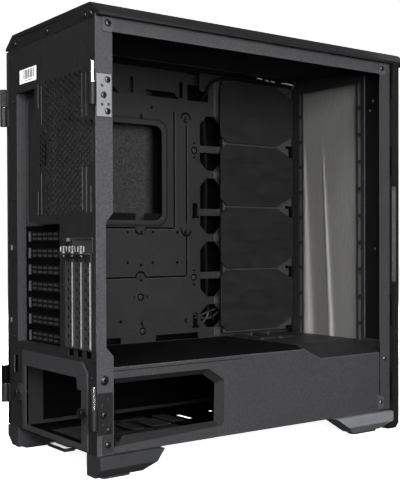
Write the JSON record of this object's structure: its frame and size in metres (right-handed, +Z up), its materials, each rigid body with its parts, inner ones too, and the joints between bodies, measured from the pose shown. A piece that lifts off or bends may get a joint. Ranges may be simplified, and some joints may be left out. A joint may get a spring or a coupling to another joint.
{
  "type": "desktop computer tower",
  "caption": "Empty open desktop tower case: sheet steel frame, window side open, far door hinged at the rear, shrouded supply bay, card slots, air filters and four feet.",
  "frame": {"origin": "bottom centre of the bounding box, on the surface the pads stand on", "axes": "+Z up, -Y towards the front panel, -X towards the open window side, +X towards the closed door"},
  "size_m": [0.24, 0.498, 0.52],
  "materials": {
    "painted_steel": "fine textured black powder coat",
    "bare_plate": "zinc plated, satin",
    "black_plastic": "fine moulded grain, matte",
    "rubber": "matte",
    "filter_cloth": "fine woven nylon dust filter",
    "cable_sleeve": "braided sleeve",
    "board": "solder mask"
  },
  "bodies": {
    "case": {"rear_panel": "painted_steel", "roof_panel": "painted_steel", "floor_panel": "painted_steel", "board_tray": "painted_steel", "front_fan_panel": "painted_steel", "supply_shroud": "painted_steel", "supply_bracket": "painted_steel", "slot_cover_1": "painted_steel", "slot_cover_2": "painted_steel", "slot_cover_3": "painted_steel", "slot_cover_4": "painted_steel", "slot_cover_5": "painted_steel", "slot_cover_6": "painted_steel", "slot_cover_7": "painted_steel", "upright_slot_cover_1": "painted_steel", "upright_slot_cover_2": "painted_steel", "upright_slot_cover_3": "painted_steel", "slot_retainer": "painted_steel", "cable_cover_frame": "painted_steel", "left_lower_hinge_leaf": "painted_steel", "right_upper_hinge_leaf": "painted_steel", "right_lower_hinge_leaf": "painted_steel", "drive_cage": "painted_steel", "drive_bracket": "painted_steel", "left_upper_hinge_leaf": "bare_plate", "left_upper_hinge_pin": "bare_plate", "left_lower_hinge_pin": "bare_plate", "right_upper_hinge_pin": "bare_plate", "right_lower_hinge_pin": "bare_plate", "shroud_front_cover": "black_plastic", "cable_cover_1": "black_plastic", "cable_cover_2": "black_plastic", "cable_cover_3": "black_plastic", "cable_cover_4": "black_plastic", "top_cover": "black_plastic", "rear_left_foot": "black_plastic", "front_left_foot": "black_plastic", "rear_right_foot": "black_plastic", "front_right_foot": "black_plastic", "rear_left_pad": "rubber", "front_left_pad": "rubber", "rear_right_pad": "rubber", "front_right_pad": "rubber", "front_filter": "filter_cloth", "top_filter": "filter_cloth", "front_socket_cable": "cable_sleeve", "front_socket_board": "board"},
    "right_door": {"right_door": "painted_steel"},
    "front_panel": {"front_panel": "black_plastic"},
    "top_grille": {"top_grille": "black_plastic"},
    "bottom_filter": {"bottom_filter": "black_plastic"},
    "power_button": {"power_button": "black_plastic"},
    "reset_button": {"reset_button": "black_plastic"},
    "supply_thumbscrew_left": {"supply_thumbscrew_left": "painted_steel"},
    "supply_thumbscrew_right": {"supply_thumbscrew_right": "painted_steel"},
    "upright_slot_screw_1": {"upright_slot_screw_1": "bare_plate"},
    "upright_slot_screw_2": {"upright_slot_screw_2": "bare_plate"},
    "upright_slot_screw_3": {"upright_slot_screw_3": "bare_plate"},
    "drive_tray_1": {"drive_tray_1": "black_plastic"},
    "drive_tray_2": {"drive_tray_2": "black_plastic"}
  },
  "joints": [
    {"name": "right_door_hinge", "type": "hinge", "parent": "case", "child": "right_door", "pos_m": [0.1152, 0.2445, 0.265], "axis": [0, 0, 1], "range_deg": [0, 110]},
    {"name": "front_panel_pull", "type": "slide", "parent": "case", "child": "front_panel", "axis": [0, -1, 0], "range_m": [0, 0.06]},
    {"name": "top_grille_lift", "type": "slide", "parent": "case", "child": "top_grille", "axis": [0, 0, 1], "range_m": [0, 0.06]},
    {"name": "bottom_filter_slide", "type": "slide", "parent": "case", "child": "bottom_filter", "axis": [0, 1, 0], "range_m": [0, 0.2]},
    {"name": "power_button_press", "type": "slide", "parent": "case", "child": "power_button", "axis": [0, 0, -1], "range_m": [0, 0.0015], "stiffness_N_per_m": 400, "springref_m": -0.001},
    {"name": "reset_button_press", "type": "slide", "parent": "case", "child": "reset_button", "axis": [0, 0, -1], "range_m": [0, 0.0015], "stiffness_N_per_m": 400, "springref_m": -0.001},
    {"name": "supply_thumbscrew_left_turn", "type": "hinge", "parent": "case", "child": "supply_thumbscrew_left", "pos_m": [-0.088, 0.245, 0.072], "axis": [0, 1, 0], "continuous": true},
    {"name": "supply_thumbscrew_right_turn", "type": "hinge", "parent": "case", "child": "supply_thumbscrew_right", "pos_m": [0.0775, 0.245, 0.074], "axis": [0, 1, 0], "continuous": true},
    {"name": "upright_slot_screw_1_turn", "type": "hinge", "parent": "case", "child": "upright_slot_screw_1", "pos_m": [-0.047, 0.2445, 0.25], "axis": [0, 0, 1], "continuous": true},
    {"name": "upright_slot_screw_2_turn", "type": "hinge", "parent": "case", "child": "upright_slot_screw_2", "pos_m": [-0.06732, 0.2445, 0.25], "axis": [0, 0, 1], "continuous": true},
    {"name": "upright_slot_screw_3_turn", "type": "hinge", "parent": "case", "child": "upright_slot_screw_3", "pos_m": [-0.08764, 0.2445, 0.25], "axis": [0, 0, 1], "continuous": true},
    {"name": "drive_tray_1_slide", "type": "slide", "parent": "case", "child": "drive_tray_1", "axis": [1, 0, 0], "range_m": [0, 0.04]},
    {"name": "drive_tray_2_slide", "type": "slide", "parent": "case", "child": "drive_tray_2", "axis": [1, 0, 0], "range_m": [0, 0.04]}
  ]
}
